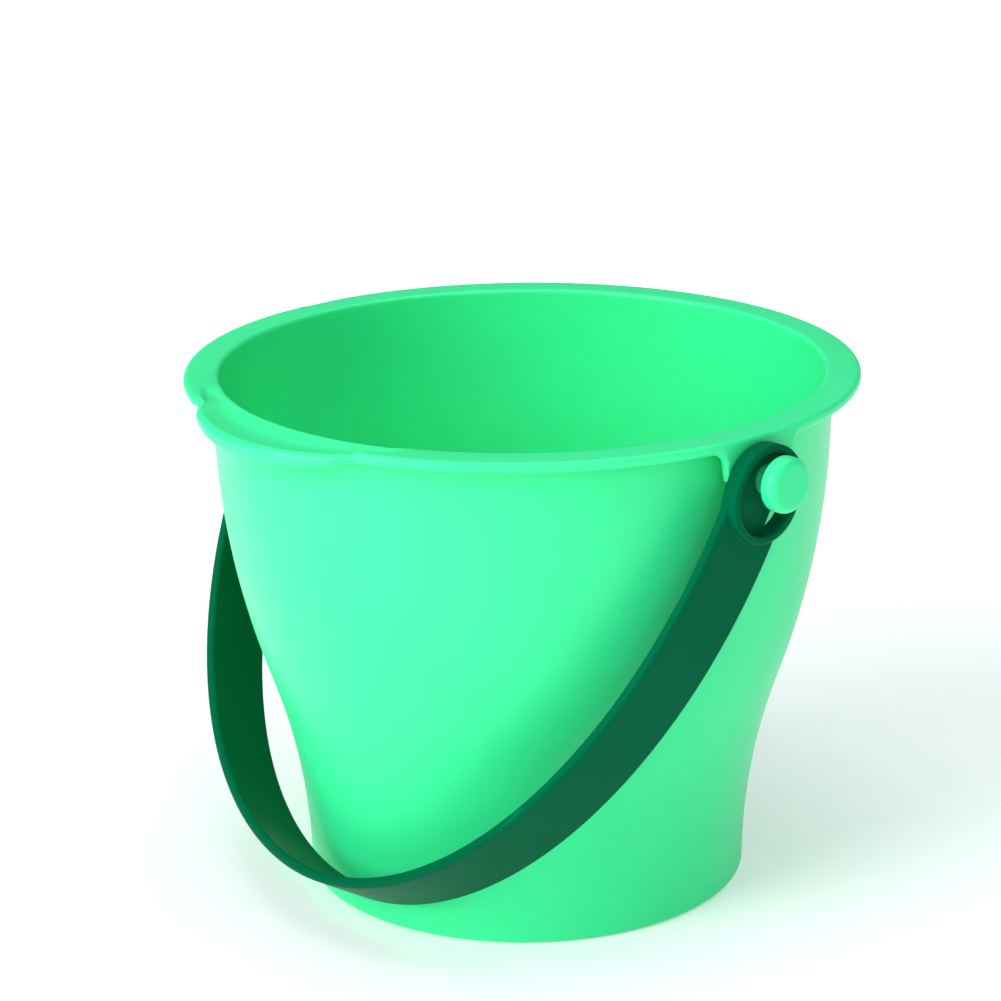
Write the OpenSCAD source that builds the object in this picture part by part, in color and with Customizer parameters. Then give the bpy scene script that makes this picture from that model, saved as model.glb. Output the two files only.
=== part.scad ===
// Toy sand bucket with a swinging carrying handle.
//
// The origin is the centre of the foot, on the surface the bucket stands on, and +Z is up the bucket's axis.
// The handle swings about the X axis direction, on a peg at each side.
// The pouring lip is on the -Y side, and the handle hangs on that side at rest.

/* [Bucket] */
// Diameter over the rim
rim_d = 200; // [180:1:260]
// Height from the table to the top of the rim
bucket_h = 157; // [120:1:200]
// Diameter of the foot
foot_d = 133; // [100:1:150]
// Thickness of the side wall
wall_t = 2; // [1.4:0.1:3]
// Thickness of the floor
floor_t = 2.2; // [1.6:0.1:4]
// Height of the hollow under the floor
floor_rise = 2; // [1:0.1:4]
// Width of the ring that the bucket stands on
foot_ring = 4; // [3:0.5:8]
// Radius on the outer edge of the foot
foot_round = 1.2; // [0.5:0.1:1.8]
// Radius where the floor meets the wall inside
floor_fillet = 4; // [2:0.5:8]
// Height of the upright part of the wall at the top, rim included
upright_h = 11; // [8:0.5:20]
// Share of the wall's curve that bows inward
bow_share = 0.445; // [0.35:0.005:0.6]

/* [Rim] */
// How far the rim stands out past the wall
rim_reach = 8.4; // [6:0.1:11]
// Thickness of the rim
rim_t = 3.2; // [2.6:0.1:4.5]
// Radius on the rim's edges
rim_round = 1.3; // [0.5:0.1:1.3]
// Radius between the rim and the wall below it
rim_fillet = 2; // [1:0.1:3]

/* [Pouring lip] */
// Width of the lip between its two notches
lip_w = 72; // [50:1:90]
// How far the lip stands out past the rim
lip_reach = 5.5; // [3:0.1:8]
// How far the lip lies below the top of the rim
lip_drop = 1.7; // [1:0.1:3]
// Thickness of the lip
lip_t = 4.4; // [3.5:0.1:6]
// Depth of the crease inside the lip, below the top of the rim
crease_drop = 2.8; // [2:0.1:4]
// Distance from the inner edge of the rim out to the crease
crease_reach = 5.2; // [4:0.1:7]

/* [Ears] */
// Distance of the pegs below the top of the rim
peg_drop = 12.5; // [11:0.5:16]
// Depth of the flat at the ear, in from the rim's edge
ear_set = 0.6; // [0.4:0.1:1.5]
// Thickness of the ear
ear_t = 2.6; // [2:0.1:4]
// Width of the ear at the top
ear_top_w = 29.5; // [26:0.5:36]
// Width of the ear at its square shoulders
ear_w = 24.4; // [22:0.2:26]
// Height of the shoulders above the peg's axis
shoulder_h = 0.7; // [0:0.1:2]
// Radius of the rounded end below the peg
ear_end_r = 8.5; // [7:0.5:10]
// Radius between the ear and the underside of the rim
ear_fillet = 3; // [2:0.5:4]

/* [Pegs] */
// Diameter of the peg's stem
stem_d = 9; // [7:0.1:10]
// Length of the stem between the ear and the head
stem_l = 7.4; // [7:0.1:9]
// Diameter of the peg's head
head_d = 16; // [14.5:0.1:18]
// Thickness of the peg's head
head_t = 5; // [4:0.1:7]
// Radius on the outer edge of the head
head_round = 2.4; // [1:0.1:3]
// Radius on the inner edge of the head
head_back_round = 0.8; // [0.3:0.1:0.9]

/* [Handle] */
// Distance from the pegs' axis to the middle of the grip
handle_drop = 151.5; // [135:0.5:180]
// Width of the handle's band
band_w = 22.8; // [16:0.1:24]
// Thickness of the handle's band
band_t = 3.2; // [2.4:0.1:4]
// Length of each straight leg, from the pegs' axis
leg_l = 15; // [15:0.5:40]
// Gap between the handle and the bucket, at the ears and where it rests
handle_gap = 0.3; // [0.3:0.1:0.6]

/* [Eyelets] */
// Width of the eyelet's collar
collar_w = 25.8; // [24.5:0.1:28]
// Length of the collar along the band
collar_l = 28.6; // [28.6:0.1:34]
// How far the collar stands out past the inner face of the band
collar_h = 5.5; // [4.5:0.1:5.8]
// Thickness of the collar's wall
collar_t = 2.4; // [1.6:0.1:2.6]
// Distance from the pegs' axis to the middle of the collar
collar_offset = 4; // [3:0.1:5]
// Thickness of the plate inside the collar
plate_t = 2.6; // [1.8:0.1:3]
// Gap around the stem in the eyelet's hole
stem_gap = 0.3; // [0.2:0.05:0.6]
// Distance from the eyelet's hole down to the two slits
slit_gap = 0.7; // [0.5:0.1:2]
// Width of the springy tab between the slits
tab_w = 14; // [10:0.1:16]
// Thickness of the springy tab
tab_t = 1.5; // [1:0.1:1.8]

/* [Hidden] */

bucket_colour = [0.29, 0.95, 0.66];
handle_colour = [0.00, 0.36, 0.22];

$fn = 96;
// Steps in each half of the wall's curve, in each small round and in the handle's bow
curve_steps = 12;
round_steps = 6;
bow_steps = 48;
// Overlap that makes two solids one, and the amount a cut runs past a face
fuse = 0.5;
past = 1;

rim_r = rim_d / 2;
neck_r = rim_r - rim_reach;
foot_r = foot_d / 2;
rim_under = bucket_h - rim_t;

// The side wall is two arcs that meet with one slope and are upright at their outer ends.
bow_h = bucket_h - upright_h;
bow_d = neck_r - foot_r;
bow_r_sum = (bow_h * bow_h + bow_d * bow_d) / (2 * bow_d);
low_r = bow_share * bow_r_sum;
high_r = (1 - bow_share) * bow_r_sum;
bow_angle = asin(bow_h / bow_r_sum);
bend_z = bow_share * bow_h;

floor_top = floor_rise + floor_t;

// The pouring lip is an arc in plan that springs from the rim at two notches.
lip_half = lip_w / 2;
lip_rise = rim_r + lip_reach - sqrt(rim_r * rim_r - lip_half * lip_half);
lip_r = (lip_half * lip_half + lip_rise * lip_rise) / (2 * lip_rise);
lip_centre = rim_r + lip_reach - lip_r;
lip_half_angle = asin(lip_half / rim_r);
lip_top = bucket_h - lip_drop;

peg_z = bucket_h - peg_drop;
ear_x = rim_r - ear_set;
shoulder_z = peg_z + shoulder_h;

// The handle is drawn hanging straight down from the pegs' axis at the origin, then turned and lifted.
band_in = ear_x + handle_gap;
band_out = band_in + band_t;
bow_in_drop = handle_drop - band_t / 2 - leg_l;
bow_out_drop = bow_in_drop + band_t;
hole_d = stem_d + 2 * stem_gap;
slit_top = hole_d / 2 + slit_gap;

// Radius of the wall's outer face at height z
function wall_r(z) =
    z < bend_z ? foot_r + low_r - sqrt(low_r * low_r - z * z)
    : z < bow_h ? neck_r - high_r + sqrt(high_r * high_r - (bow_h - z) * (bow_h - z))
    : neck_r;

// Points up the wall, set in by d from its outer face
function wall_low(d) = [for (i = [0:curve_steps]) let (a = bow_angle * i / curve_steps)
    [foot_r + low_r - (low_r + d) * cos(a), (low_r + d) * sin(a)]];
function wall_high(d) = [for (i = [1:curve_steps]) let (a = bow_angle * (1 - i / curve_steps))
    [neck_r - high_r + (high_r - d) * cos(a), bow_h - (high_r - d) * sin(a)]];

// Points of an arc about c, from angle a to angle b
function arc(c, r, a, b) = [for (i = [0:round_steps]) let (t = a + (b - a) * i / round_steps)
    c + r * [cos(t), sin(t)]];

// Points along half of the handle's bow, where rx is its half width and ry its depth
function bow(rx, ry) = [for (i = [0:bow_steps]) let (a = 180 * i / bow_steps)
    [rx * cos(a), -leg_l - ry * sin(a)]];

// Smallest room left beside the wall or above the table by the back edge of a handle hanging at angle a
function room(a) = min([for (t = [0:5:90]) let (
        x = band_in * cos(t),
        s = leg_l + bow_in_drop * sin(t),
        y = s * sin(a) - band_w / 2 * cos(a),
        z = peg_z - s * cos(a) - band_w / 2 * sin(a))
    min(sqrt(x * x + y * y) - wall_r(max(z, 0)), z - band_t * cos(a))]);

// Angle at which the hanging handle comes to rest, found by halving
function rest_angle(low, high, n) = let (mid = (low + high) / 2)
    n == 0 ? high : room(mid) < handle_gap ? rest_angle(mid, high, n - 1) : rest_angle(low, mid, n - 1);

hang = rest_angle(0, 80, 16);

module body_outline() {
    polygon(concat(
        [[0, 0]],
        arc([foot_r - foot_round, foot_round], foot_round, -90, 0),
        [for (p = wall_low(0)) if (p[1] > foot_round) p],
        wall_high(0),
        arc([neck_r + rim_fillet, rim_under - rim_fillet], rim_fillet, 180, 90),
        arc([rim_r - rim_round, rim_under + rim_round], rim_round, -90, 0),
        arc([rim_r - rim_round, bucket_h - rim_round], rim_round, 0, 90),
        [[0, bucket_h]]
    ));
}

module cavity_outline() {
    fillet_top = floor_top + floor_fillet;
    mouth_r = neck_r - wall_t;
    polygon(concat(
        [[0, floor_top]],
        arc([wall_r(fillet_top) - wall_t - floor_fillet, fillet_top], floor_fillet, -90, 0),
        [for (p = wall_low(wall_t)) if (p[1] > fillet_top + past) p],
        wall_high(wall_t),
        arc([mouth_r + rim_round, bucket_h - rim_round], rim_round, 180, 90),
        [[mouth_r + rim_round, bucket_h + past], [0, bucket_h + past]]
    ));
}

// Wedge of space round the -Y axis that holds the pouring lip
module lip_wedge() {
    reach = 2 * rim_r;
    translate([0, 0, peg_z])
        linear_extrude(bucket_h)
            polygon([[0, 0],
                reach * [-sin(lip_half_angle), -cos(lip_half_angle)],
                reach * [sin(lip_half_angle), -cos(lip_half_angle)]]);
}

module lip() {
    inner_r = neck_r - wall_t / 2 - lip_centre;
    intersection() {
        translate([0, -lip_centre, 0])
            rotate_extrude()
                polygon(concat(
                    [[inner_r, lip_top - lip_t]],
                    arc([lip_r - rim_round, lip_top - lip_t + rim_round], rim_round, -90, 0),
                    arc([lip_r - rim_round, lip_top - rim_round], rim_round, 0, 90),
                    [[inner_r, lip_top]]
                ));
        lip_wedge();
    }
}

// What is cut from the top of the rim at the lip: a slope down to a crease, then a gentle rise
module lip_channel() {
    mouth_r = neck_r - wall_t;
    far_r = rim_r + lip_reach;
    crease_z = bucket_h - crease_drop;
    rise = (lip_top - crease_z) / (far_r - mouth_r - crease_reach);
    intersection() {
        rotate_extrude()
            polygon([
                [mouth_r, bucket_h],
                [mouth_r + crease_reach, crease_z],
                [far_r + past, lip_top + rise * past],
                [far_r + past, bucket_h + past],
                [mouth_r, bucket_h + past]
            ]);
        lip_wedge();
    }
}

// Outline of an ear, where x runs across the ear and y is the height
module ear_outline() {
    half_top = ear_top_w / 2;
    half = ear_w / 2;
    polygon([
        [-half, shoulder_z],
        [half, shoulder_z],
        [half_top, rim_under],
        [half_top, rim_under + fuse],
        [-half_top, rim_under + fuse],
        [-half_top, rim_under]
    ]);
    translate([0, peg_z])
        circle(r = ear_end_r);
    for (side = [-1, 1])
        translate([side * half_top, rim_under])
            difference() {
                translate([-ear_fillet, -ear_fillet])
                    square([2 * ear_fillet, ear_fillet + fuse]);
                translate([side * ear_fillet, -ear_fillet])
                    circle(r = ear_fillet);
                translate([-side * 2 * ear_fillet - ear_fillet, -2 * ear_fillet])
                    square([2 * ear_fillet, 4 * ear_fillet]);
            }
}

module ear() {
    intersection() {
        translate([ear_x - ear_t, 0, 0])
            rotate([90, 0, 90])
                linear_extrude(ear_t + past)
                    ear_outline();
        cylinder(r = rim_r, h = bucket_h);
    }
}

// Flat that trims the ear and the rim above it
module ear_flat() {
    width = ear_top_w + 4 * ear_fillet;
    translate([ear_x, -width / 2, peg_z - 2 * ear_end_r])
        cube([rim_r, width, bucket_h]);
}

module peg() {
    head_r = head_d / 2;
    translate([0, 0, peg_z])
        rotate([0, 90, 0]) {
            translate([0, 0, ear_x - ear_t / 2])
                cylinder(d = stem_d, h = ear_t / 2 + stem_l + fuse);
            translate([0, 0, ear_x + stem_l])
                rotate_extrude()
                    polygon(concat(
                        [[0, 0]],
                        arc([head_r - head_back_round, head_back_round], head_back_round, -90, 0),
                        arc([head_r - head_round, head_t - head_round], head_round, 0, 90),
                        [[0, head_t]]
                    ));
        }
}

module both_sides() {
    children();
    mirror([1, 0, 0])
        children();
}

module bucket() {
    color(bucket_colour)
        difference() {
            union() {
                difference() {
                    union() {
                        rotate_extrude()
                            body_outline();
                        lip();
                        both_sides()
                            ear();
                    }
                    both_sides()
                        ear_flat();
                }
                both_sides()
                    peg();
            }
            rotate_extrude()
                cavity_outline();
            lip_channel();
            translate([0, 0, -past])
                cylinder(r = foot_r - foot_ring, h = floor_rise + past);
        }
}

// Shape with two round ends, w wide and l long
module oblong(w, l) {
    for (end = [-1, 1])
        translate([0, end * (l - w) / 2])
            circle(d = w);
    square([w, l - w], center = true);
}

// Outlines in the eyelet's plane, where x runs across the band and y is the height
module collar_outline() {
    translate([0, -collar_offset])
        oblong(collar_w, collar_l);
}

module pocket_outline() {
    translate([0, -collar_offset])
        oblong(collar_w - 2 * collar_t, collar_l - 2 * collar_t);
}

module hole_outline() {
    circle(d = hole_d);
}

module tab_area() {
    intersection() {
        pocket_outline();
        translate([-collar_w, -slit_top - collar_l])
            square([2 * collar_w, collar_l]);
    }
}

module slits() {
    difference() {
        tab_area();
        translate([-tab_w / 2, -slit_top - collar_l])
            square([tab_w, collar_l]);
    }
}

// Sets an outline of the eyelet upright, from distance a to distance b out from the middle of the bucket
module eyelet_layer(a, b) {
    translate([a, 0, 0])
        rotate([90, 0, 90])
            linear_extrude(b - a)
                children();
}

module eyelet_cuts() {
    front = band_in + collar_h + past;
    eyelet_layer(band_in + plate_t, front)
        pocket_outline();
    eyelet_layer(band_in - past, front)
        hole_outline();
    eyelet_layer(band_in + tab_t, front)
        tab_area();
    eyelet_layer(band_in - past, front)
        slits();
}

module band() {
    top = -collar_offset;
    inside = bow(band_in, bow_in_drop);
    translate([0, band_w / 2, 0])
        rotate([90, 0, 0])
            linear_extrude(band_w)
                polygon(concat(
                    [[band_out, top]],
                    bow(band_out, bow_out_drop),
                    [[-band_out, top], [-band_in, top]],
                    [for (i = [len(inside) - 1:-1:0]) inside[i]],
                    [[band_in, top]]
                ));
}

module handle() {
    color(handle_colour)
        translate([0, 0, peg_z])
            rotate([-hang, 0, 0])
                difference() {
                    union() {
                        band();
                        both_sides()
                            eyelet_layer(band_in, band_in + collar_h)
                                collar_outline();
                    }
                    both_sides()
                        eyelet_cuts();
                }
}

bucket();
handle();
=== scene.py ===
import math

import bmesh
import bpy
import numpy as np
from mathutils import Matrix, Vector
from mathutils.geometry import delaunay_2d_cdt


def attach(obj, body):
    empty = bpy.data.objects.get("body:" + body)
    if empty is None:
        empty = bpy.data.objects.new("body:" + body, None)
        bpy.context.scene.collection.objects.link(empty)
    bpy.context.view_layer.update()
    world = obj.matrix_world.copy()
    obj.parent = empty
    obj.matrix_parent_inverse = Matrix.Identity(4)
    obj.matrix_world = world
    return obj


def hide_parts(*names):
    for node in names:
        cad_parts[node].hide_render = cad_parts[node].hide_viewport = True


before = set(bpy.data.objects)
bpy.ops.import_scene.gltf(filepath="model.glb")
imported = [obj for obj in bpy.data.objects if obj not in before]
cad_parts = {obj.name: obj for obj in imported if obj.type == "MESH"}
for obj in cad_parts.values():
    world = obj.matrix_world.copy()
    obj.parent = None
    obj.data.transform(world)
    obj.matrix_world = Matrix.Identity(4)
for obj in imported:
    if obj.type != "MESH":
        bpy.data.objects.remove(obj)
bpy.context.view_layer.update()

MM = 0.001

# ---------------------------------------------------------------- sizes of the whole, in millimetres
RIM_R = 100.0
BUCKET_H = 157.0
FOOT_R = 66.5
NECK_R = 91.6
WALL_T = 2.0
RIM_UNDER = 153.8
MOUTH_R = NECK_R - WALL_T
FLOOR_RISE = 2.0
FLOOR_TOP = 4.2
PEG_Z = 144.5
EAR_X = 99.4
EAR_T = 2.6
HANG = math.radians(30.84)


# ---------------------------------------------------------------- small helpers
def smooth(t):
    t = min(max(t, 0.0), 1.0)
    return t * t * (3 - 2 * t)


def mix(a, b, t):
    return a + (b - a) * t


def new_object(name, verts, faces, material, body, node):
    mesh = bpy.data.meshes.new(name)
    mesh.from_pydata([[c * MM for c in v] for v in verts], [], faces)
    mesh.validate()
    mesh.update()
    obj = bpy.data.objects.new(name, mesh)
    bpy.context.scene.collection.objects.link(obj)
    mesh.materials.append(material)
    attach(obj, body)
    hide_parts(node)
    return obj


def face_outwards(obj, weld):
    """Welds points closer than this many metres, drops those without a face, and turns the faces outwards."""
    bm = bmesh.new()
    bm.from_mesh(obj.data)
    bmesh.ops.remove_doubles(bm, verts=bm.verts, dist=weld)
    loose = [v for v in bm.verts if not v.link_faces]
    bmesh.ops.delete(bm, geom=loose, context="VERTS")
    bmesh.ops.recalc_face_normals(bm, faces=bm.faces)
    bm.to_mesh(obj.data)
    bm.free()
    obj.data.shade_smooth()


# ---------------------------------------------------------------- the bucket's wall
# The wall is an S of two arcs, upright at the foot and at BOW_H. They meet at BEND_Z.
BOW_H = 146.0
LOW_SHARE = 0.445
BOW_OUT = NECK_R - FOOT_R
BOTH_R = (BOW_H * BOW_H + BOW_OUT * BOW_OUT) / (2 * BOW_OUT)
LOW_R = LOW_SHARE * BOTH_R
HIGH_R = BOTH_R - LOW_R
BEND_Z = LOW_SHARE * BOW_H


def wall_r(z):
    if z < BEND_Z:
        return FOOT_R + LOW_R - math.sqrt(LOW_R * LOW_R - z * z)
    if z < BOW_H:
        return NECK_R - HIGH_R + math.sqrt(HIGH_R * HIGH_R - (BOW_H - z) ** 2)
    return NECK_R


def wall_normal(z):
    """Unit vector (r, z) square to the wall, pointing outwards."""
    e = 0.05
    dr = wall_r(z + e) - wall_r(max(z - e, 0))
    dz = z + e - max(z - e, 0)
    n = math.hypot(dr, dz)
    return dz / n, -dr / n


# ---------------------------------------------------------------- the rim and its lip
LIP_END = 21.1  # half the lip's angle, in degrees
LIP_C = 46.3036  # centre of the lip's edge, from the bucket's axis
LIP_R = 59.1964
LIP_LOW = 150.0
LIP_LOW_RISE = 3.2
LIP_TOP = 155.2
LIP_TOP_RISE = 0.9
NOTCH_LEFT = 1.2
NOTCH_RIGHT = 0.5
NOTCH_WIDTH = 1.9


def lip_amount(deg):
    """1 over the lip, 0 over the rim, with the change at each notch."""
    return smooth((LIP_END + 0.7 - abs(deg)) / 1.4)


def outer_radius(deg):
    """Plan radius of the rim's edge, deg from the middle of the lip."""
    t = math.radians(deg)
    a = abs(deg)
    r = RIM_R
    if a < LIP_END:
        r = LIP_C * math.cos(t) + math.sqrt(LIP_R**2 - (LIP_C * math.sin(t)) ** 2)
    notch = NOTCH_RIGHT if deg > 0 else NOTCH_LEFT
    return r - notch * math.exp(-(((a - LIP_END + 0.4) / NOTCH_WIDTH) ** 2))


def lip_top_edge(deg):
    return LIP_TOP + LIP_TOP_RISE * (min(abs(deg), LIP_END) / LIP_END) ** 2


def lip_bottom(deg):
    a = math.hypot(min(abs(deg), LIP_END), 2.0) / LIP_END
    return min(LIP_LOW + LIP_LOW_RISE * a * a, RIM_UNDER)


def top_height(deg, r, edge_r):
    """Height of the rim's or lip's top surface."""
    a = abs(deg)
    inner = smooth((97.6 - r) / 3.0)
    start = mix(LIP_END + 0.2, LIP_END + 5.6, inner)
    width = mix(0.9, 2.6, inner)
    amount = smooth((start + width - a) / (2 * width))
    slope = BUCKET_H - (r - MOUTH_R) * 0.53
    rise = lip_top_edge(deg) - (edge_r - r) * 0.1
    deep = (slope + rise) / 2 + math.hypot((slope - rise) / 2, 0.35)
    return mix(BUCKET_H, min(deep, BUCKET_H), amount)


def arc(cr, cz, rad, a0, a1, n):
    angles = [math.radians(a0 + (a1 - a0) * i / n) for i in range(n + 1)]
    return [(cr + rad * math.cos(a), cz + rad * math.sin(a)) for a in angles]


def bezier(p0, p1, p2, n):
    out = []
    for i in range(n + 1):
        t = i / n
        u = 1 - t
        out.append(tuple(u**2 * a + 2 * t * u * b + t * t * c for a, b, c in zip(p0, p1, p2)))
    return out


# ---------------------------------------------------------------- the ears
EAR_R = 8.5
EAR_ROUND_IN = 0.6
EAR_ROUND_OUT = 0.8
# Half of an ear's outline, (y, z), from the middle of its rounded end out to the underside of the rim
EAR_HALF = (
    [(EAR_R * math.sin(math.radians(a)), PEG_Z - EAR_R * math.cos(math.radians(a))) for a in range(0, 90, 7)]
    + bezier((EAR_R, PEG_Z - 0.1), (EAR_R, 145.2), (9.4, 145.2), 4)
    + [(10.2, 145.2), (11.0, 145.2)]
    + bezier((11.5, 145.2), (12.1, 145.2), (12.15, 145.8), 4)
    + [(12.45, 147.2), (12.7, 148.8), (12.9, 150.1)]
    + bezier((13.05, 150.9), (13.35, 153.8), (17.2, 153.8), 9)
)
EAR_END_Y = 17.2


def ear_columns():
    """(outline y, outline z, normal y, normal z, y along the rim) from one side of an ear to the other."""
    run = [0.0]
    for a, b in zip(EAR_HALF, EAR_HALF[1:]):
        run.append(run[-1] + math.hypot(b[0] - a[0], b[1] - a[1]))
    half = [(y, z, s) for (y, z), s in zip(EAR_HALF, run)]
    pts = [(-y, z, -s) for y, z, s in half[::-1]] + half[1:]
    cols = []
    for i, (y, z, s) in enumerate(pts):
        y0, z0, _ = pts[max(i - 1, 0)]
        y1, z1, _ = pts[min(i + 1, len(pts) - 1)]
        ty, tz = y1 - y0, z1 - z0
        n = math.hypot(ty, tz)
        cols.append((y, z, tz / n, -ty / n, EAR_END_Y * s / run[-1]))
    return cols


EAR_COLUMNS = ear_columns()


# ---------------------------------------------------------------- the bucket's section
RING_R = 62.5  # where the foot's ring meets the hollow under the floor
RING_ROUND = 0.4
FOOT_ROUND = 1.2
RIM_FILLET = 2  # between the wall and the rim's underside
RIM_ROUND = 1.3
LIP_ROUND_LOW = 1.7
LIP_ROUND_TOP = 1.8
MOUTH_ROUND = 1.3
CREASE_R = 94.8
FLOOR_FILLET = 4
FLOOR_FILLET_Z = 8.2
# The rim's trim at the ears is a soft minimum of two radii, worked out from TRIM_FROM to keep the powers small
TRIM_SHARP = 8
TRIM_FROM = 99
EDGE_LOWER, EDGE_ROUND, EDGE_SIDE = 8, 6, 3
EDGE_ROWS = EDGE_LOWER + EDGE_ROUND + EDGE_SIDE


def trimmed(big, deg):
    """The rim's radius, cut by a flat at each ear."""
    side = abs(math.sin(math.radians(deg)))
    if side <= 0.9:
        return big
    flat = EAR_X / side
    powers = math.exp(-TRIM_SHARP * (flat - TRIM_FROM)) + math.exp(-TRIM_SHARP * (RIM_R - TRIM_FROM))
    return min(-math.log(powers) / TRIM_SHARP + TRIM_FROM, flat, RIM_R)


def rows_below_edge(under):
    """(r, z) from the underside's middle, round the foot and up the outer wall, out along the rim's underside."""
    rows = [(r, FLOOR_RISE) for r in (8, 20, 32, 44, 54, 60)]
    rows += [(RING_R - RING_ROUND, FLOOR_RISE)]
    rows += arc(RING_R - RING_ROUND, FLOOR_RISE - RING_ROUND, RING_ROUND, 60, 0, 2)
    rows += arc(RING_R + RING_ROUND, RING_ROUND, RING_ROUND, 180, 270, 3)
    rows += [(64.1, 0.0)]
    rows += arc(FOOT_R - FOOT_ROUND, FOOT_ROUND, FOOT_ROUND, -90, 0, 5)
    low, high = 8, 140
    top = under - RIM_FILLET
    zs = [2.2, 4.5, low] + [low + (high - low) * i / 34 for i in range(1, 35)]
    zs += [mix(high, top, f) for f in (0.35, 0.7, 0.93)]
    rows += [(wall_r(z), z) for z in zs]
    rows += arc(NECK_R + RIM_FILLET, top, RIM_FILLET, 180, 90, 5)
    return rows + [(94.6, under)]


def section(deg):
    """The closed section of the bucket at deg from the middle of the lip: rows of (r, z), underside first."""
    big = trimmed(outer_radius(deg), deg)
    lip = lip_amount(deg)
    under = mix(RIM_UNDER, lip_bottom(deg), smooth((LIP_END + 1.5 - abs(deg)) / 3))
    edge_top = mix(BUCKET_H, lip_top_edge(deg), lip)
    round_low = mix(RIM_ROUND, LIP_ROUND_LOW, lip)
    round_top = mix(RIM_ROUND, LIP_ROUND_TOP, lip)
    rows = rows_below_edge(under)
    # edge: underside, lower round, side, upper round
    low_r, low_z = big - round_low, under + round_low
    top_r, top_z = big - round_top, edge_top - round_top
    rows += [(mix(95.4, low_r, i / EDGE_LOWER), under) for i in range(EDGE_LOWER)]
    rows += arc(low_r, low_z, round_low, -90, 0, EDGE_ROUND - 1)
    side_low, side_high = low_z, top_z
    if side_high < side_low:
        side_low = side_high = (low_z + top_z) / 2
    rows += [(big, mix(side_low, side_high, f)) for f in (0.25, 0.5, 0.75)]
    rows += arc(top_r, top_z, round_top, 0, 90, 6)
    # top, from the edge to the mouth
    inner = MOUTH_R + MOUTH_ROUND
    radii = [mix(top_r, CREASE_R, f) for f in (0.15, 0.3, 0.45, 0.6, 0.8, 1.0)]
    radii += [mix(CREASE_R, inner, f) for f in (0.25, 0.5, 0.75)]
    rows += [(r, top_height(deg, r, big)) for r in radii]
    z_in = top_height(deg, inner, big)
    corner = (MOUTH_R, min(z_in + 0.5 * (BUCKET_H - z_in), BUCKET_H))
    rows += bezier((inner, z_in), corner, (MOUTH_R, BUCKET_H - 1.35), 5)
    # inside wall, floor
    zs_in = [153.5, 150] + [BOW_H - (BOW_H - 9.4) * i / 34 for i in range(0, 35)]
    for z in zs_in:
        nr, nz = wall_normal(min(z, BOW_H))
        rows.append((wall_r(z) - WALL_T * nr, z - WALL_T * nz if z < BOW_H else z))
    floor_corner = wall_r(FLOOR_FILLET_Z) - WALL_T - FLOOR_FILLET
    rows += arc(floor_corner, FLOOR_FILLET_Z, FLOOR_FILLET, 0, -90, 6)[1:]
    rows += [(r, FLOOR_TOP) for r in (56, 46, 36, 26, 14, 6)]
    return rows


ROWS = len(section(90))
# An ear's rows take the place of as many plain ones, from the last row of the rim's underside on
EAR_START = len(rows_below_edge(RIM_UNDER)) - 1


def edge_rows_of_ear(col, plain_rows):
    """One ear column's rows, as (x, y, z) on the +X side. plain_rows are the (r, z) that they replace."""
    y, z, ny, nz, y_rim = col
    h = RIM_UNDER - z
    inner_x = EAR_X - EAR_T
    ri, ro = EAR_ROUND_IN, EAR_ROUND_OUT
    cut = 0.3 * ri  # how far a round's middle point lies in from its corner
    in_y, in_z = y - ri * ny, z - ri * nz
    pts = [
        (inner_x - ri, y_rim, RIM_UNDER),
        (inner_x - cut, y_rim, RIM_UNDER - cut),
        (inner_x, y_rim, RIM_UNDER - ri),
        (inner_x, mix(y_rim, in_y, 0.6), mix(RIM_UNDER - ri, in_z, 0.6)),
        (inner_x, in_y, in_z),
        (inner_x + cut, y - cut * ny, z - cut * nz),
        (inner_x + ri, y, z),
        (mix(inner_x + ri, EAR_X - ro, 0.5), y, z),
    ]
    for i in range(EDGE_ROUND):
        a = math.radians(90 * i / (EDGE_ROUND - 1))
        inset = ro * (1 - math.cos(a))
        pts.append((EAR_X - ro + ro * math.sin(a), y - inset * ny, z - inset * nz))
    last = pts[-1]
    rim_z = BUCKET_H - RIM_ROUND
    for f in (0.1, 0.45, 0.86):
        pts.append((EAR_X, mix(last[1], y_rim, f), mix(last[2], rim_z, f)))
    # where the ear has little height, it blends into the plain rim with its lower edge let down to the outline
    weight = smooth(h / 3.0)
    sags = [i / EDGE_LOWER for i in range(EDGE_LOWER)] + [1.0] * EDGE_ROUND + [0.75, 0.5, 0.25]
    ang = math.atan2(y_rim, EAR_X)
    out = []
    for p, (r, plain_z), sag in zip(pts, plain_rows, sags):
        q = (r * math.cos(ang), r * math.sin(ang), plain_z - sag * h)
        out.append(tuple(mix(b, a, weight) for a, b in zip(p, q)))
    return out


def bucket_columns():
    """Azimuths of the plain columns and the ear columns, in order round the bucket from +X."""
    ear_end = math.degrees(math.atan2(EAR_END_Y, EAR_X))
    cols = []

    def plain(a, b, n):
        for i in range(1, n):
            cols.append(("plain", a + (b - a) * i / n))

    # +X ear, then the back (+Y) to the -X ear, then round the lip, closer together at its notches
    cols += [("right", c) for c in EAR_COLUMNS]
    plain(ear_end, 180 - ear_end, 100)
    cols += [("left", c) for c in EAR_COLUMNS[::-1]]
    left, right = -90 - LIP_END, -90 + LIP_END
    lip_stops = [left - 9, left - 2.6, left + 2.6, right - 2.6, right + 2.6, right + 9]
    plain(-180 + ear_end, lip_stops[0], 34)
    for a, b, n in zip(lip_stops, lip_stops[1:], (12, 20, 34, 20, 12)):
        cols.append(("plain", a))
        plain(a, b, n)
    cols.append(("plain", lip_stops[-1]))
    plain(lip_stops[-1], -ear_end, 34)
    return cols


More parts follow.
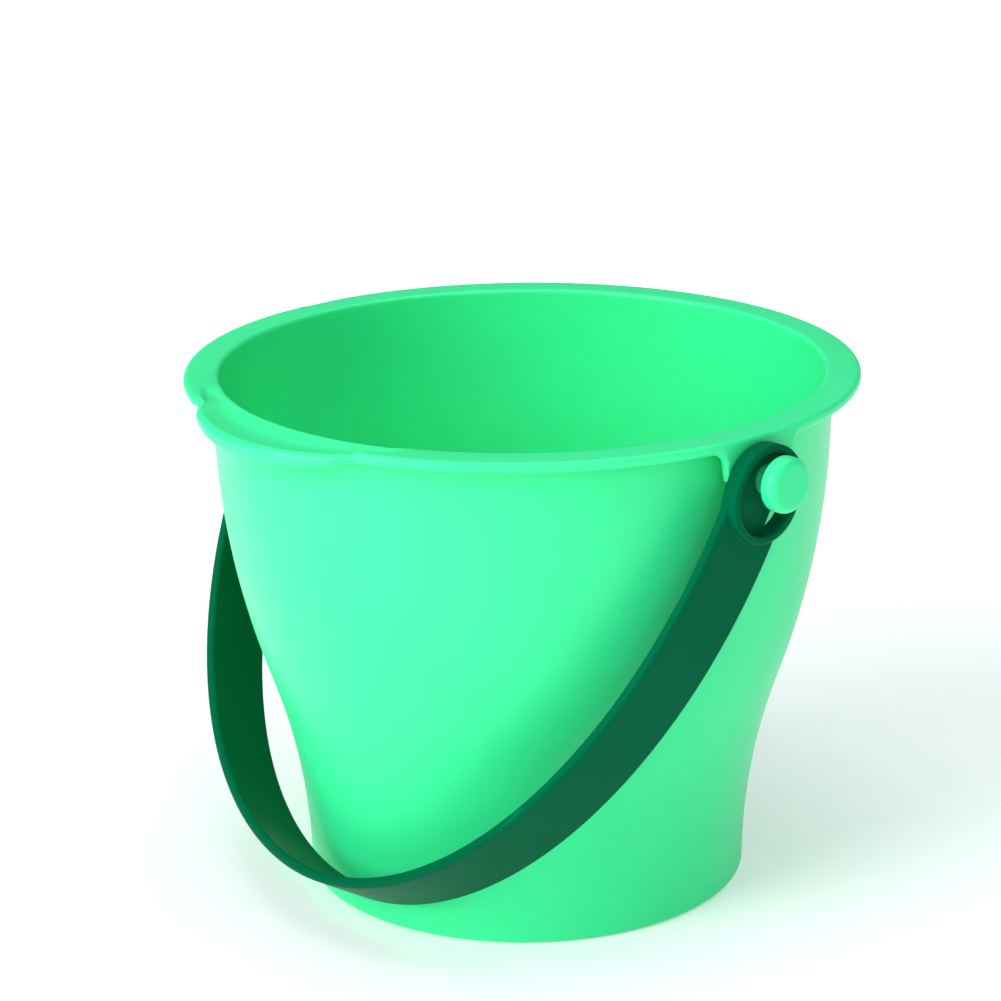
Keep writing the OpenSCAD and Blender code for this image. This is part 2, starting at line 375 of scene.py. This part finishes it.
def build_bucket(material):
    cols = bucket_columns()
    verts = []
    for kind, data in cols:
        if kind == "plain":
            phi = data
        else:
            phi = math.degrees(math.atan2(data[4], EAR_X))
            if kind == "left":
                phi = 180 - phi
        deg = (phi + 90 + 180) % 360 - 180
        rows = section(deg)
        c, s = math.cos(math.radians(phi)), math.sin(math.radians(phi))
        pts = [(r * c, r * s, z) for r, z in rows]
        if kind != "plain":
            ear_rows = slice(EAR_START, EAR_START + EDGE_ROWS)
            special = edge_rows_of_ear(data, rows[ear_rows])
            if kind == "left":
                special = [(-x, y, z) for x, y, z in special]
            pts[ear_rows] = special
        verts += pts
    n = len(cols)
    faces = []
    for j in range(n):
        a, b = j * ROWS, ((j + 1) % n) * ROWS
        for k in range(ROWS - 1):
            faces.append((a + k, b + k, b + k + 1, a + k + 1))
    bottom = len(verts)
    verts.append((0, 0, FLOOR_RISE))
    inside = len(verts)
    verts.append((0, 0, FLOOR_TOP))
    for j in range(n):
        a, b = j * ROWS, ((j + 1) % n) * ROWS
        faces.append((bottom, b, a))
        faces.append((inside, a + ROWS - 1, b + ROWS - 1))
    add_peg(verts, faces, 1)
    add_peg(verts, faces, -1)
    obj = new_object("tub", verts, faces, material, "bucket", "bucket")
    face_outwards(obj, 1e-7)


# ---------------------------------------------------------------- the pegs
STEM_R = 4.5
STEM_L = 7.4
STEM_ROUND = 0.5
HEAD_R = 8.0
HEAD_T = 5.0
HEAD_ROUND = 2.4
HEAD_BACK_ROUND = 0.8
PEG_SIDES = 64
PEG_CLEAR = 5.4  # faces of the ear this near the axis make way for the peg
MID_R = 5.0  # a ring of points between the stem and those faces
MID_SIDES = 32


def peg_profile():
    """(r, x) from the root of the stem to the middle of the head's face."""
    back = EAR_X + STEM_L
    front = back + HEAD_T
    out = [(STEM_R, x) for x in (EAR_X, EAR_X + 0.5, EAR_X + 3.5, back - 1.2)]
    for a in (0.0, 0.8, 1.57):
        out.append((STEM_R + STEM_ROUND * (1 - math.cos(a)), back - STEM_ROUND + STEM_ROUND * math.sin(a)))
    out += [(6.0, back)]
    rb = HEAD_BACK_ROUND
    out += [(HEAD_R - rb + rb * math.sin(a), back + rb - rb * math.cos(a)) for a in (0.0, 0.4, 0.8, 1.2, 1.5708)]
    out += [(HEAD_R, back + 1.7)]
    steps = 10
    for i in range(steps + 1):
        a = math.radians(90 * i / steps)
        out.append((HEAD_R - HEAD_ROUND * (1 - math.cos(a)), front - HEAD_ROUND + HEAD_ROUND * math.sin(a)))
    return out + [(r, front) for r in (4.4, 2.6, 1.0)]


def add_peg(verts, faces, side):
    """Opens the ear's face round the stem, and grows the peg out of it."""
    around = PEG_SIDES
    co = np.array(verts)
    on_face = np.abs(co[:, 0] * side - EAR_X) < 1e-4
    on_face &= (np.abs(co[:, 1]) < EAR_END_Y - 0.2) & (co[:, 2] < BUCKET_H - 1.2)
    near = []
    for i, f in enumerate(faces):
        if not all(on_face[v] for v in f):
            continue
        p = co[list(f)][:, 1:]
        # nearest point of the quad to the peg's axis
        lo, hi = p.min(0), p.max(0)
        dy = max(lo[0], -hi[0], 0)
        dz = max(lo[1] - PEG_Z, PEG_Z - hi[1], 0)
        if math.hypot(dy, dz) < PEG_CLEAR:
            near.append(i)
    edges = {}
    for i in near:
        f = faces[i]
        for a, b in zip(f, f[1:] + f[:1]):
            if (b, a) in edges:
                del edges[(b, a)]
            else:
                edges[(a, b)] = True
    step = dict(edges.keys())
    first = next(iter(step))
    loop = [first]
    while step[loop[-1]] != first:
        loop.append(step[loop[-1]])
    for i in sorted(near, reverse=True):
        faces.pop(i)
    ring = len(verts)
    profile = peg_profile()
    for r, x in profile:
        for i in range(around):
            a = 2 * math.pi * i / around
            verts.append((side * x, r * math.cos(a), PEG_Z + r * math.sin(a)))
    for k in range(len(profile) - 1):
        for i in range(around):
            a, b = ring + k * around + i, ring + k * around + (i + 1) % around
            faces.append((a, b, b + around, a + around))
    centre = len(verts)
    verts.append((side * profile[-1][1], 0, PEG_Z))
    last = ring + (len(profile) - 1) * around
    for i in range(around):
        faces.append((last + i, last + (i + 1) % around, centre))
    flat = [Vector((verts[v][1], verts[v][2])) for v in loop]
    circle = [Vector((verts[ring + i][1], verts[ring + i][2])) for i in range(around)]
    mid_angles = [2 * math.pi * (i + 0.5) / MID_SIDES for i in range(MID_SIDES)]
    mid = [Vector((MID_R * math.cos(a), PEG_Z + MID_R * math.sin(a))) for a in mid_angles]
    n = len(flat)
    bounds = [(i, (i + 1) % n) for i in range(n)] + [(n + i, n + (i + 1) % around) for i in range(around)]
    points, _, tris, orig, _, _ = delaunay_2d_cdt(flat + circle + mid, bounds, [], 0, 1e-7)
    index = []
    for i, o in enumerate(orig):
        o = sorted(o)
        if o and o[0] < n:
            index.append(loop[o[0]])
        elif o and o[0] < n + around:
            index.append(ring + o[0] - n)
        else:
            index.append(len(verts))
            verts.append((side * EAR_X, points[i].x, points[i].y))

    def inside_loop(p):
        hit = False
        for a, b in zip(flat, flat[1:] + flat[:1]):
            crosses = (a.y > p.y) != (b.y > p.y)
            if crosses and p.x < a.x + (p.y - a.y) / (b.y - a.y) * (b.x - a.x):
                hit = not hit
        return hit

    for t in tris:
        p = sum((points[i] for i in t), Vector((0, 0))) / 3
        outside_stem = (p - Vector((0, PEG_Z))).length > STEM_R * math.cos(math.pi / around)
        if outside_stem and inside_loop(p):
            faces.append(tuple(index[i] for i in t))


# ---------------------------------------------------------------- the handle
# The handle is drawn unrolled: s runs down the leg from the pegs' axis and along the bow, w across the band, and
# n out from the band's inner face. It is a distance field, turned into a mesh, then bent to shape.
BAND_IN = 99.7
BAND_T = 3.2
BAND_W = 22.8
LEG = 15.0
BOW_IN = 134.9
COLLAR_W = 25.8
COLLAR_L = 28.6
COLLAR_H = 5.5
COLLAR_T = 2.4
COLLAR_MID = 4.0
PLATE_T = 2.6
HOLE_R = 4.8
SLIT_TOP = 5.5
TAB_HALF = 7.0
TAB_T = 1.5
BAND_ROUND = 1.25
COLLAR_ROUND = 0.95
COLLAR_FILLET = 0.7
POCKET_ROUND = 0.75
POCKET_FILLET = 0.45
NET_STEP = 0.3  # of the grid round the eyelet


def bow_table():
    """The inner face of half the handle as (length along it, x, down), leg first, to the middle of the grip."""
    n = 2000
    t = np.linspace(0, math.pi / 2, n)
    x, d = BAND_IN * np.cos(t), LEG + BOW_IN * np.sin(t)
    s = np.concatenate([[0], np.cumsum(np.hypot(np.diff(x), np.diff(d)))]) + LEG
    return s, x, d


BOW_S, BOW_X, BOW_D = bow_table()
HALF_LENGTH = float(BOW_S[-1])


def oblong(w, s, width, length):
    """Distance from an oblong in the eyelet's plane."""
    r = width / 2
    straight = (length - width) / 2
    ds = np.maximum(np.abs(s - COLLAR_MID) - straight, 0)
    return np.hypot(w, ds) - r


def both(a, b, k):
    """Smooth greater of two distances: what lies in both, with its edge rounded by k."""
    u, v = np.maximum(k + a, 0), np.maximum(k + b, 0)
    return np.minimum(np.maximum(a, b), -k) + np.hypot(u, v)


def either(a, b, k):
    """Smooth lesser of two distances: what lies in one or the other, with its corner filled by k."""
    u, v = np.maximum(k - a, 0), np.maximum(k - b, 0)
    return np.maximum(np.minimum(a, b), k) - np.hypot(u, v)


def handle_field(s, w, n):
    strip = both(np.abs(w) - BAND_W / 2, np.abs(n - BAND_T / 2) - BAND_T / 2, BAND_ROUND)
    strip = both(strip, COLLAR_MID + 2 - s, 0.3)
    collar = both(oblong(w, s, COLLAR_W, COLLAR_L), np.abs(n - COLLAR_H / 2) - COLLAR_H / 2, COLLAR_ROUND)
    f = either(strip, collar, COLLAR_FILLET)
    pocket = oblong(w, s, COLLAR_W - 2 * COLLAR_T, COLLAR_L - 2 * COLLAR_T)
    below_hole = both(pocket, SLIT_TOP - s, 0.2)
    f = both(f, -both(pocket, PLATE_T - n, POCKET_FILLET), POCKET_ROUND)
    f = both(f, -both(below_hole, TAB_T - n, 0.2), 0.2)
    f = both(f, HOLE_R - np.hypot(w, s), 0.25)
    slits = both(both(pocket, TAB_HALF - np.abs(w), 0.1), SLIT_TOP - s, 0.3)
    return both(f, -slits, 0.15)


def grid_axis(stops):
    """Values from (start, end, step) runs that follow each other."""
    out = [stops[0][0]]
    for a, b, step in stops:
        n = max(1, round((b - a) / step))
        out += [a + (b - a) * i / n for i in range(1, n + 1)]
    return np.array(out)


def surface_net(field, xs, ys, zs):
    """Quads round the zero level of a field on a grid."""
    X, Y, Z = np.meshgrid(xs, ys, zs, indexing="ij")
    F = field(X, Y, Z)
    inside = F < 0
    nx, ny, nz = F.shape
    acc = np.zeros((nx - 1, ny - 1, nz - 1, 3))
    cnt = np.zeros((nx - 1, ny - 1, nz - 1))
    P = np.stack([X, Y, Z], -1)
    axes = ((1, 0, 0), (0, 1, 0), (0, 0, 1))
    crossings = []
    for ax, (dx, dy, dz) in enumerate(axes):
        a = (slice(0, nx - dx), slice(0, ny - dy), slice(0, nz - dz))
        b = (slice(dx, nx), slice(dy, ny), slice(dz, nz))
        cross = inside[a] != inside[b]
        idx = np.argwhere(cross)
        fa, fb = F[a][cross], F[b][cross]
        t = (fa / (fa - fb))[:, None]
        pts = P[a][cross] * (1 - t) + P[b][cross] * t
        crossings.append((idx, inside[a][cross]))
        others = [o for o in range(3) if o != ax]
        for u in (0, 1):
            for v in (0, 1):
                cell = idx.copy()
                cell[:, others[0]] -= u
                cell[:, others[1]] -= v
                ok = (cell >= 0).all(1) & (cell[:, 0] < nx - 1) & (cell[:, 1] < ny - 1) & (cell[:, 2] < nz - 1)
                c = cell[ok]
                np.add.at(acc, (c[:, 0], c[:, 1], c[:, 2]), pts[ok])
                np.add.at(cnt, (c[:, 0], c[:, 1], c[:, 2]), 1)
    used = cnt > 0
    number = -np.ones(cnt.shape, int)
    number[used] = np.arange(used.sum())
    verts = acc[used] / cnt[used][:, None]
    faces = []
    for ax, (idx, low_inside) in enumerate(crossings):
        u, v = [(1, 2), (2, 0), (0, 1)][ax]
        cells = []
        for du, dv in ((1, 1), (0, 1), (0, 0), (1, 0)):
            c = idx.copy()
            c[:, u] -= du
            c[:, v] -= dv
            cells.append(c)
        ok = np.ones(len(idx), bool)
        for c in cells:
            ok &= (c >= 0).all(1) & (c < np.array(cnt.shape)).all(1)
        quad = np.stack([number[tuple(c[ok].T)] for c in cells], 1)
        quad[~low_inside[ok]] = quad[~low_inside[ok]][:, ::-1]
        faces.append(quad)
    return verts, np.concatenate(faces)


def settle(field, p, rounds, reach):
    """Moves points onto the field's zero level, by at most reach a round."""
    e = 0.02
    for _ in range(rounds):
        s, w, n = p.T
        f = field(s, w, n)
        g = np.stack(
            [
                field(s + e, w, n) - field(s - e, w, n),
                field(s, w + e, n) - field(s, w - e, n),
                field(s, w, n + e) - field(s, w, n - e),
            ],
            1,
        ) / (2 * e)
        size = np.maximum((g * g).sum(1), 0.25)[:, None]
        p = p - np.clip(f[:, None] * g / size, -reach, reach)
    return p


def bend(p, side):
    """Unrolled points to millimetres in the row frame, at rest."""
    s, w, n = p.T
    on_bow = np.clip(s, LEG, HALF_LENGTH)
    x = np.interp(on_bow, BOW_S, BOW_X)
    d = np.interp(on_bow, BOW_S, BOW_D)
    t = np.arcsin(np.clip((d - LEG) / BOW_IN, -1, 1))
    nx, nd = BOW_IN * np.cos(t), BAND_IN * np.sin(t)
    size = np.hypot(nx, nd)
    nx, nd = nx / size, nd / size
    x = x + nx * n
    d = np.where(s < LEG, s, d) + nd * n
    # hanging straight down, then turned to rest
    y, z = w, -d
    c, sn = math.cos(HANG), math.sin(HANG)
    yy = y * c + z * sn
    zz = -y * sn + z * c
    return np.stack([side * x, yy, zz + PEG_Z], 1)


def build_handle(material):
    grid_s = grid_axis([(-12.0, 21.0, NET_STEP), (21.0, 27.0, 1.0), (27.0, HALF_LENGTH, 2.0)])
    grid_w = grid_axis([(-13.5, 13.5, NET_STEP)])
    grid_n = grid_axis([(-0.6, 6.1, NET_STEP)])
    # one layer of cells past the middle of the grip
    step = grid_s[-1] - grid_s[-2]
    grid_s = np.append(grid_s, grid_s[-1] + step)
    p, quads = surface_net(handle_field, grid_s, grid_w, grid_n)
    p = settle(handle_field, p, 3, 0.12)
    # that layer's points are laid on the middle plane, so that the two halves meet in one ring of points
    last = p[:, 0] > HALF_LENGTH - 1.2
    quads = quads[~last[quads].all(1)]
    p[last, 0] = HALF_LENGTH
    right = bend(p, 1)
    left = bend(p, -1)
    n = len(p)
    verts = np.concatenate([right, left])
    faces = np.concatenate([quads, quads[:, ::-1] + n])
    obj = new_object("grip", verts.tolist(), faces.tolist(), material, "handle", "handle")
    face_outwards(obj, 2e-6)


# ---------------------------------------------------------------- materials
def plastic(name, colours, rough, specular, tint, scatter, scatter_radius, fleck):
    """colours are the plain colour, a deeper one for swirls and specks, and a paler one for worn edges that also
    paints a highlight along sharp edges.
    """
    colour, deep, pale = colours
    mat = bpy.data.materials.new(name)
    mat.use_nodes = True
    nodes, links = mat.node_tree.nodes, mat.node_tree.links
    bsdf = nodes["Principled BSDF"]
    for socket, value in (
        ("Roughness", rough),
        ("IOR", 1.49),
        ("Specular IOR Level", specular),
        ("Specular Tint", tint),
        ("Subsurface Weight", scatter),
        ("Subsurface Radius", scatter_radius),
        ("Subsurface Scale", 0.004),
    ):
        bsdf.inputs[socket].default_value = value
    coord = nodes.new("ShaderNodeTexCoord")

    def texture(kind, scale, detail=None):
        node = nodes.new(kind)
        node.inputs["Scale"].default_value = scale
        if detail is not None:
            node.inputs["Detail"].default_value = detail
        links.new(coord.outputs["Object"], node.inputs["Vector"])
        return node

    def ranged(socket, **limits):
        node = nodes.new("ShaderNodeMapRange")
        for limit, value in limits.items():
            node.inputs[limit.replace("_", " ").title()].default_value = value
        links.new(socket, node.inputs["Value"])
        return node.outputs["Result"]

    def noise(scale, detail, lo, hi):
        return ranged(texture("ShaderNodeTexNoise", scale, detail).outputs["Fac"], from_min=lo, from_max=hi)

    def maths(operation, a, b):
        node = nodes.new("ShaderNodeMath")
        node.operation = operation
        links.new(a, node.inputs[0])
        if isinstance(b, float):
            node.inputs[1].default_value = b
        else:
            links.new(b, node.inputs[1])
        return node.outputs[0]

    def blend(fac, a, b):
        node = nodes.new("ShaderNodeMix")
        node.data_type = "RGBA"
        links.new(fac, node.inputs["Factor"])
        for socket, value in (("A", a), ("B", b)):
            target = next(i for i in node.inputs if i.name == socket and i.type == "RGBA")
            if isinstance(value, tuple):
                target.default_value = (*value, 1)
            else:
                links.new(value, target)
        return next(o for o in node.outputs if o.type == "RGBA")

    def bump(height, strength, distance, under=None):
        node = nodes.new("ShaderNodeBump")
        node.inputs["Strength"].default_value = strength
        node.inputs["Distance"].default_value = distance
        links.new(height, node.inputs["Height"])
        if under is not None:
            links.new(under, node.inputs["Normal"])
        return node.outputs["Normal"]

    # broad, faint swirls of pigment
    cloud = noise(14, 3, 0.35, 0.65)
    base = blend(maths("MULTIPLY", cloud, 0.5), colour, deep)
    # worn edges and painted highlight: sharp convex edges go paler in patches, partly as rubbed wear, partly as a
    # painted highlight line
    geometry = nodes.new("ShaderNodeNewGeometry")
    edge = ranged(geometry.outputs["Pointiness"], from_min=0.52, from_max=0.62)
    wear_and_highlight = maths("MULTIPLY", edge, noise(60, 4, 0.4, 0.62))
    base = blend(maths("MULTIPLY", wear_and_highlight, 0.35), base, pale)
    # a few dark specks caught in the plastic
    cells = texture("ShaderNodeTexVoronoi", 85)
    dot = ranged(cells.outputs["Distance"], from_min=0.055, from_max=0.025)
    lot = nodes.new("ShaderNodeSeparateColor")
    links.new(cells.outputs["Color"], lot.inputs["Color"])
    chosen = maths("GREATER_THAN", lot.outputs["Red"], 0.86)
    base = blend(maths("MULTIPLY", maths("MULTIPLY", dot, chosen), fleck), base, deep)
    links.new(base, bsdf.inputs["Base Color"])
    # gloss: a little uneven
    smear = noise(22, 5, 0.3, 0.7)
    links.new(ranged(smear, to_min=rough - 0.05, to_max=rough + 0.08), bsdf.inputs["Roughness"])
    # bump: the mould's fine grain over slow ripples
    grain = texture("ShaderNodeTexNoise", 1400, 2).outputs["Fac"]
    slow = texture("ShaderNodeTexNoise", 30, 1).outputs["Fac"]
    ripples = bump(slow, 0.25, 0.0008)
    links.new(bump(grain, 0.12, 0.00005, ripples), bsdf.inputs["Normal"])
    return mat


tub_plastic = plastic(
    "tub_plastic",
    ((0.038, 0.80, 0.315), (0.028, 0.72, 0.275), (0.14, 0.90, 0.46)),
    rough=0.36,
    specular=0.30,
    tint=(1, 1, 1, 1),
    scatter=0.35,
    scatter_radius=(0.4, 1.0, 0.7),
    fleck=0.7,
)
handle_plastic = plastic(
    "handle_plastic",
    # the third, paler colour also paints the highlight line along the band's sharp edges
    ((0.0003, 0.108, 0.045), (0.0003, 0.088, 0.035), (0.004, 0.26, 0.115)),
    rough=0.34,
    specular=0.035,
    tint=(0.02, 0.9, 0.5, 1),
    scatter=0.0,
    scatter_radius=(1, 1, 1),
    fleck=0.0,
)

build_bucket(tub_plastic)
build_handle(handle_plastic)

# ---------------------------------------------------------------- floor, in metres from here on
FLOOR_SIZE = 12
FLOOR_Z = -0.0002  # just under the foot, so that the two don't share a plane
bpy.ops.mesh.primitive_plane_add(size=FLOOR_SIZE, location=(0, 0, FLOOR_Z))
floor = bpy.context.object
floor.name = "floor"
floor_mat = bpy.data.materials.new("floor_paint")
floor_mat.use_nodes = True
floor_nodes, floor_links = floor_mat.node_tree.nodes, floor_mat.node_tree.links
floor_shader = floor_nodes["Principled BSDF"]
floor_shader.inputs["Base Color"].default_value = (0.93, 0.945, 0.95, 1)
floor_shader.inputs["Roughness"].default_value = 0.30
floor_shader.inputs["Emission Color"].default_value = (0.86, 0.97, 1.0, 1)
# the floor glows more with distance from the bucket, metres to strength, for a white table and a soft shadow
floor_coord = floor_nodes.new("ShaderNodeTexCoord")
far = floor_nodes.new("ShaderNodeVectorMath")
far.operation = "LENGTH"
floor_links.new(floor_coord.outputs["Object"], far.inputs[0])
glow = floor_nodes.new("ShaderNodeMapRange")
glow.interpolation_type = "SMOOTHSTEP"
glow.inputs["From Min"].default_value = 0.06
glow.inputs["From Max"].default_value = 0.75
glow.inputs["To Min"].default_value = 0.22
glow.inputs["To Max"].default_value = 0.75
floor_links.new(far.outputs["Value"], glow.inputs["Value"])
floor_links.new(glow.outputs["Result"], floor_shader.inputs["Emission Strength"])
floor.data.materials.append(floor_mat)


# ---------------------------------------------------------------- light
AIM_Z = 0.08


def softbox(name, place, aim, size, watts):
    data = bpy.data.lights.new(name, "AREA")
    data.size = size
    data.energy = watts
    obj = bpy.data.objects.new(name, data)
    bpy.context.scene.collection.objects.link(obj)
    obj.location = place
    obj.rotation_euler = (Vector(aim) - Vector(place)).to_track_quat("-Z", "Y").to_euler()


def around(azimuth, elevation, distance):
    """A place seen from the bucket at an azimuth (0 is -Y, 90 is +X) and an elevation."""
    a, e = math.radians(azimuth), math.radians(elevation)
    out = distance * math.cos(e)
    return (out * math.sin(a), -out * math.cos(a), AIM_Z + distance * math.sin(e))


softbox("key", around(-8, 26, 1.7), (0, 0, AIM_Z), 1.2, 30)
softbox("top", (0.1, 0.2, 1.7), (0, 0, 0), 1.6, 16)
softbox("fill", around(60, 26, 2.0), (0, 0, AIM_Z), 0.8, 9)
world = bpy.data.worlds.new("studio")
bpy.context.scene.world = world
world.use_nodes = True
world.node_tree.nodes["Background"].inputs["Color"].default_value = (1.0, 1.0, 1.0, 1)
world.node_tree.nodes["Background"].inputs["Strength"].default_value = 0.20

# ---------------------------------------------------------------- camera
CAM_AZIMUTH = 48.8
CAM_ELEVATION = 17.83
CAM_DISTANCE = 0.9878
CAM_AIM_Z = 0.11451
CAM_YAW = 0.0073
CAM_ROLL = -0.0130
CAM_LENS = 118.33


def place_camera():
    e = math.radians(CAM_ELEVATION)
    spot = Vector((0, -CAM_DISTANCE * math.cos(e), CAM_AIM_Z + CAM_DISTANCE * math.sin(e)))
    ahead = Matrix.Rotation(CAM_YAW, 3, "Z") @ Vector((0, math.cos(e), -math.sin(e)))
    right = ahead.cross(Vector((0, 0, 1))).normalized()
    up = right.cross(ahead)
    r2 = math.cos(CAM_ROLL) * right + math.sin(CAM_ROLL) * up
    u2 = -math.sin(CAM_ROLL) * right + math.cos(CAM_ROLL) * up
    turn = Matrix.Rotation(math.radians(CAM_AZIMUTH), 3, "Z")
    r2, u2, back, spot = turn @ r2, turn @ u2, turn @ -ahead, turn @ spot
    data = bpy.data.cameras.new("camera")
    data.lens = CAM_LENS
    data.sensor_width = 36
    obj = bpy.data.objects.new("camera", data)
    bpy.context.scene.collection.objects.link(obj)
    obj.matrix_world = Matrix(
        (
            (r2.x, u2.x, back.x, spot.x),
            (r2.y, u2.y, back.y, spot.y),
            (r2.z, u2.z, back.z, spot.z),
            (0, 0, 0, 1),
        )
    )
    bpy.context.scene.camera = obj


place_camera()
scene = bpy.context.scene
scene.view_settings.view_transform = "Standard"
scene.view_settings.look = "None"
